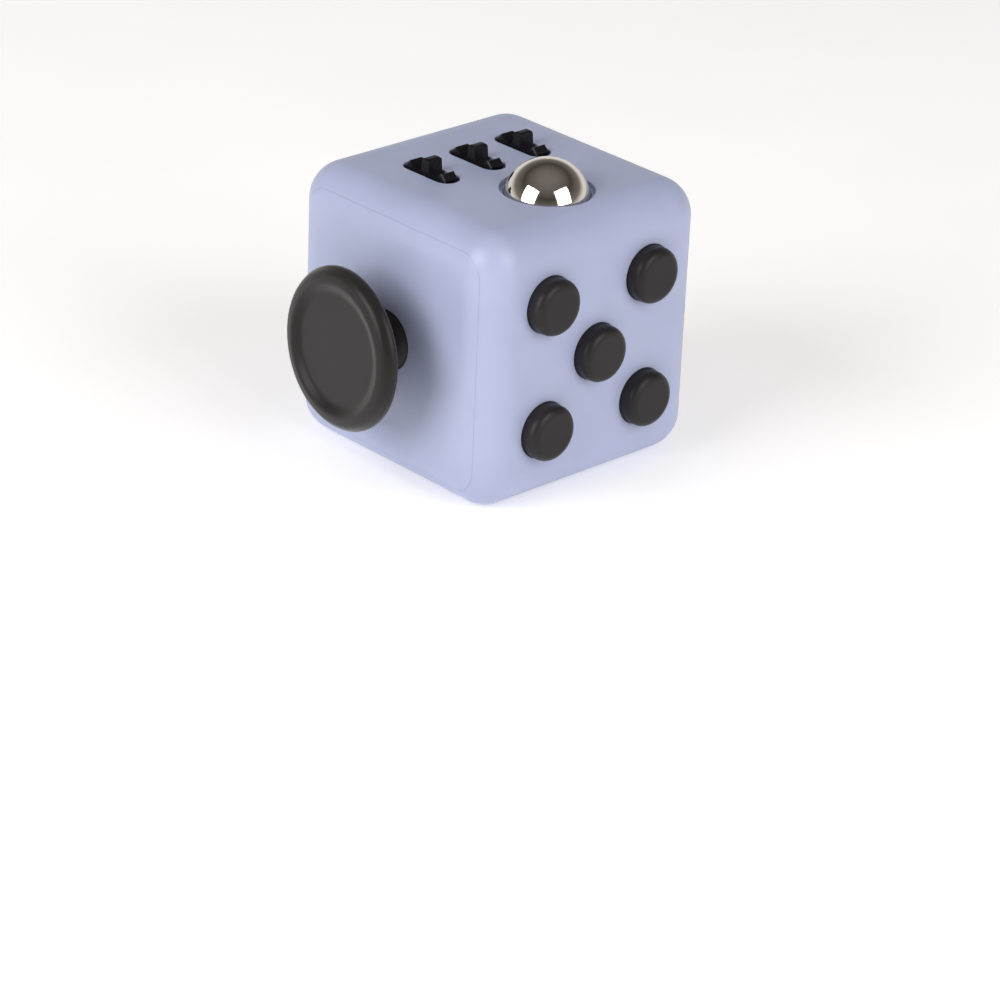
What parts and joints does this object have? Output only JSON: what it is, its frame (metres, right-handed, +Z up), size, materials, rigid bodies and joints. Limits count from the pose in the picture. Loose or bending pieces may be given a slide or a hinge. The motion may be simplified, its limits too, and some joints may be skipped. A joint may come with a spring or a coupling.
{
  "type": "fidget cube",
  "caption": "Desk toy cube whose faces carry press buttons, toothed rollers beside a steel ball, a tilting thumb stick, a rocker, a turning dial and a thumb hollow.",
  "frame": {"origin": "middle of the flat underside", "axes": "+Z up to the wheels and ball, -Y towards the click buttons, -X towards the thumb stick, +X towards the rocker, +Y towards the dial"},
  "size_m": [0.043, 0.036, 0.0365],
  "materials": {
    "shell_blue": "soft matte periwinkle blue-grey",
    "button_black": "matte black",
    "grip_black": "soft matte black",
    "wheel_black": "satin black",
    "ball_steel": "polished",
    "liner_white": "slippery white",
    "inner_grey": "moulded grey",
    "pad_rubber": "soft",
    "spring_steel": "drawn wire",
    "dome_steel": "rolled strip",
    "plain_steel": "plated"
  },
  "bodies": {
    "case": {"main_shell": "shell_blue", "glide_cover": "shell_blue", "flip_cover": "shell_blue", "button_plate": "inner_grey", "click_dome_centre": "dome_steel", "silent_pad_top_left": "pad_rubber", "click_dome_top_right": "dome_steel", "click_dome_bottom_left": "dome_steel", "silent_pad_bottom_right": "pad_rubber", "button_spring_centre": "spring_steel", "button_spring_top_left": "spring_steel", "button_spring_top_right": "spring_steel", "button_spring_bottom_left": "spring_steel", "button_spring_bottom_right": "spring_steel", "ball_end_cap": "inner_grey", "ball_spring": "spring_steel", "ball_click_dome": "dome_steel", "roller_axle": "plain_steel", "roller_bracket": "inner_grey", "wheel_detent_comb": "dome_steel", "stick_retainer": "inner_grey", "stick_spring": "spring_steel", "rocker_pin": "plain_steel", "rocker_housing": "inner_grey", "rocker_detent_spring": "spring_steel", "case_screws": "plain_steel", "cover_screws": "plain_steel"},
    "button_centre": {"click_button_centre": "button_black"},
    "button_top_left": {"click_button_top_left": "button_black"},
    "button_top_right": {"click_button_top_right": "button_black"},
    "button_bottom_left": {"click_button_bottom_left": "button_black"},
    "button_bottom_right": {"click_button_bottom_right": "button_black"},
    "ball_carrier": {"ball_plunger": "inner_grey"},
    "ball_liner": {"ball_seat_ring": "liner_white"},
    "ball": {"steel_ball": "ball_steel"},
    "wheel_left": {"roller_wheel_left": "wheel_black"},
    "wheel_middle": {"roller_wheel_middle": "wheel_black"},
    "wheel_right": {"roller_wheel_right": "wheel_black"},
    "stick_seat": {"stick_friction_cup": "liner_white"},
    "stick": {"stick_cap": "grip_black", "stick_ball_stem": "button_black"},
    "rocker": {"flip_rocker": "button_black"},
    "rocker_detent": {"rocker_detent_plunger": "plain_steel"},
    "dial": {"spin_dial": "button_black", "dial_washer": "plain_steel", "dial_screw": "plain_steel"}
  },
  "joints": [
    {"name": "button_centre_press", "type": "slide", "parent": "case", "child": "button_centre", "axis": [0, 1, 0], "range_m": [0, 0.0009], "stiffness_N_per_m": 600, "springref_m": -0.0005, "deforming": ["button_spring_centre"]},
    {"name": "button_top_left_press", "type": "slide", "parent": "case", "child": "button_top_left", "axis": [0, 1, 0], "range_m": [0, 0.0009], "stiffness_N_per_m": 400, "springref_m": -0.0005, "deforming": ["button_spring_top_left"]},
    {"name": "button_top_right_press", "type": "slide", "parent": "case", "child": "button_top_right", "axis": [0, 1, 0], "range_m": [0, 0.0009], "stiffness_N_per_m": 600, "springref_m": -0.0005, "deforming": ["button_spring_top_right"]},
    {"name": "button_bottom_left_press", "type": "slide", "parent": "case", "child": "button_bottom_left", "axis": [0, 1, 0], "range_m": [0, 0.0009], "stiffness_N_per_m": 600, "springref_m": -0.0005, "deforming": ["button_spring_bottom_left"]},
    {"name": "button_bottom_right_press", "type": "slide", "parent": "case", "child": "button_bottom_right", "axis": [0, 1, 0], "range_m": [0, 0.0009], "stiffness_N_per_m": 400, "springref_m": -0.0005, "deforming": ["button_spring_bottom_right"]},
    {"name": "ball_press", "type": "slide", "parent": "case", "child": "ball_carrier", "axis": [0, 0, -1], "range_m": [0, 0.0008], "stiffness_N_per_m": 900, "springref_m": -0.0005, "deforming": ["ball_spring"]},
    {"name": "ball_turn", "type": "hinge", "parent": "ball_carrier", "child": "ball_liner", "pos_m": [0, -0.0075, 0.0315], "axis": [0, 0, 1], "continuous": true},
    {"name": "ball_roll", "type": "hinge", "parent": "ball_liner", "child": "ball", "pos_m": [0, -0.0075, 0.0315], "axis": [1, 0, 0], "continuous": true},
    {"name": "wheel_left_spin", "type": "hinge", "parent": "case", "child": "wheel_left", "pos_m": [-0.00695, 0.004, 0.0304], "axis": [1, 0, 0], "continuous": true, "deforming": ["wheel_detent_comb"]},
    {"name": "wheel_middle_spin", "type": "hinge", "parent": "case", "child": "wheel_middle", "pos_m": [0, 0.004, 0.0304], "axis": [1, 0, 0], "continuous": true, "deforming": ["wheel_detent_comb"]},
    {"name": "wheel_right_spin", "type": "hinge", "parent": "case", "child": "wheel_right", "pos_m": [0.00695, 0.004, 0.0304], "axis": [1, 0, 0], "continuous": true, "deforming": ["wheel_detent_comb"]},
    {"name": "stick_swivel", "type": "hinge", "parent": "case", "child": "stick_seat", "pos_m": [-0.0141, 0, 0.0165], "axis": [1, 0, 0], "continuous": true},
    {"name": "stick_tilt", "type": "hinge", "parent": "stick_seat", "child": "stick", "pos_m": [-0.0141, 0, 0.0165], "axis": [0, 0.6626, -0.749], "range_deg": [-21.8, 14.2]},
    {"name": "rocker_flip", "type": "hinge", "parent": "case", "child": "rocker", "pos_m": [0.0131, 0, 0.0165], "axis": [0, -1, 0], "range_deg": [0, 20]},
    {"name": "rocker_detent_slide", "type": "slide", "parent": "case", "child": "rocker_detent", "axis": [-1, 0, 0], "range_m": [0, 0.0004], "stiffness_N_per_m": 300, "springref_m": -0.0005, "deforming": ["rocker_detent_spring"]},
    {"name": "dial_spin", "type": "hinge", "parent": "case", "child": "dial", "pos_m": [0, 0.0165, 0.0165], "axis": [0, 1, 0], "continuous": true}
  ]
}
